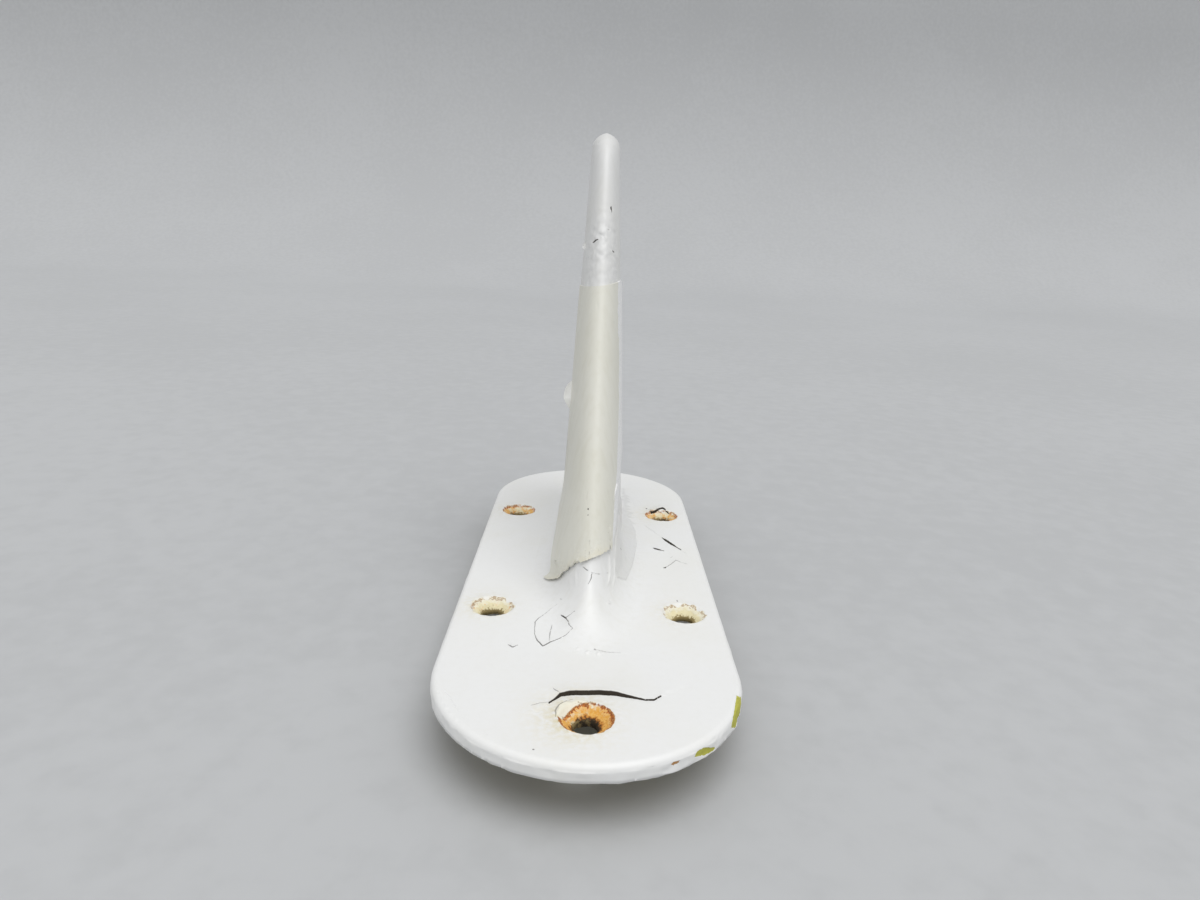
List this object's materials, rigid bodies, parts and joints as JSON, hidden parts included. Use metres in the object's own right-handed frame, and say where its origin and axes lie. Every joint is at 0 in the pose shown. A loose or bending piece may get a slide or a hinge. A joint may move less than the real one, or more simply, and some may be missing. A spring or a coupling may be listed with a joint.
{
  "type": "aircraft blade antenna",
  "caption": "Worn white blade antenna for an aircraft skin: round-ended base plate with countersunk holes, swept hollow blade, torn erosion boot and a coaxial jack below.",
  "frame": {"origin": "centre of the four side holes, on the mounting face", "axes": "+Z out of the aircraft skin along the blade, -Y forward to the leading edge, +X to the right seen from the front"},
  "size_m": [0.066, 0.183, 0.1336],
  "materials": {
    "painted_plate": "worn white gloss paint over yellow-green primer on aluminium",
    "painted_radome": "worn white gloss paint on glass-fibre laminate",
    "boot": "weathered cream-grey polyurethane, satin",
    "laminate": "plain glass laminate",
    "board": "circuit board",
    "screw_steel": "plain steel",
    "brass_sheet": "plain sheet",
    "copper": "bare copper",
    "ceramic": "unglazed ceramic",
    "jack_plating": "dull nickel plating",
    "jack_insulator": "white fluoropolymer",
    "contact_gold": "gold plating"
  },
  "bodies": {
    "root": {"base": "painted_plate", "radome": "painted_radome", "leading_edge_boot": "boot", "front_block": "laminate", "rear_block": "laminate", "block_screws": "screw_steel", "matching_board": "board", "board_screws": "screw_steel", "radiator": "brass_sheet", "radiator_rivets": "brass_sheet", "matching_coil": "copper", "trimmer_capacitors": "ceramic", "feed_wire": "copper", "ground_strap": "copper", "ground_screw": "screw_steel", "connector_shell": "jack_plating", "connector_insulator": "jack_insulator", "connector_contact": "contact_gold", "connector_screws": "screw_steel"}
  },
  "joints": []
}
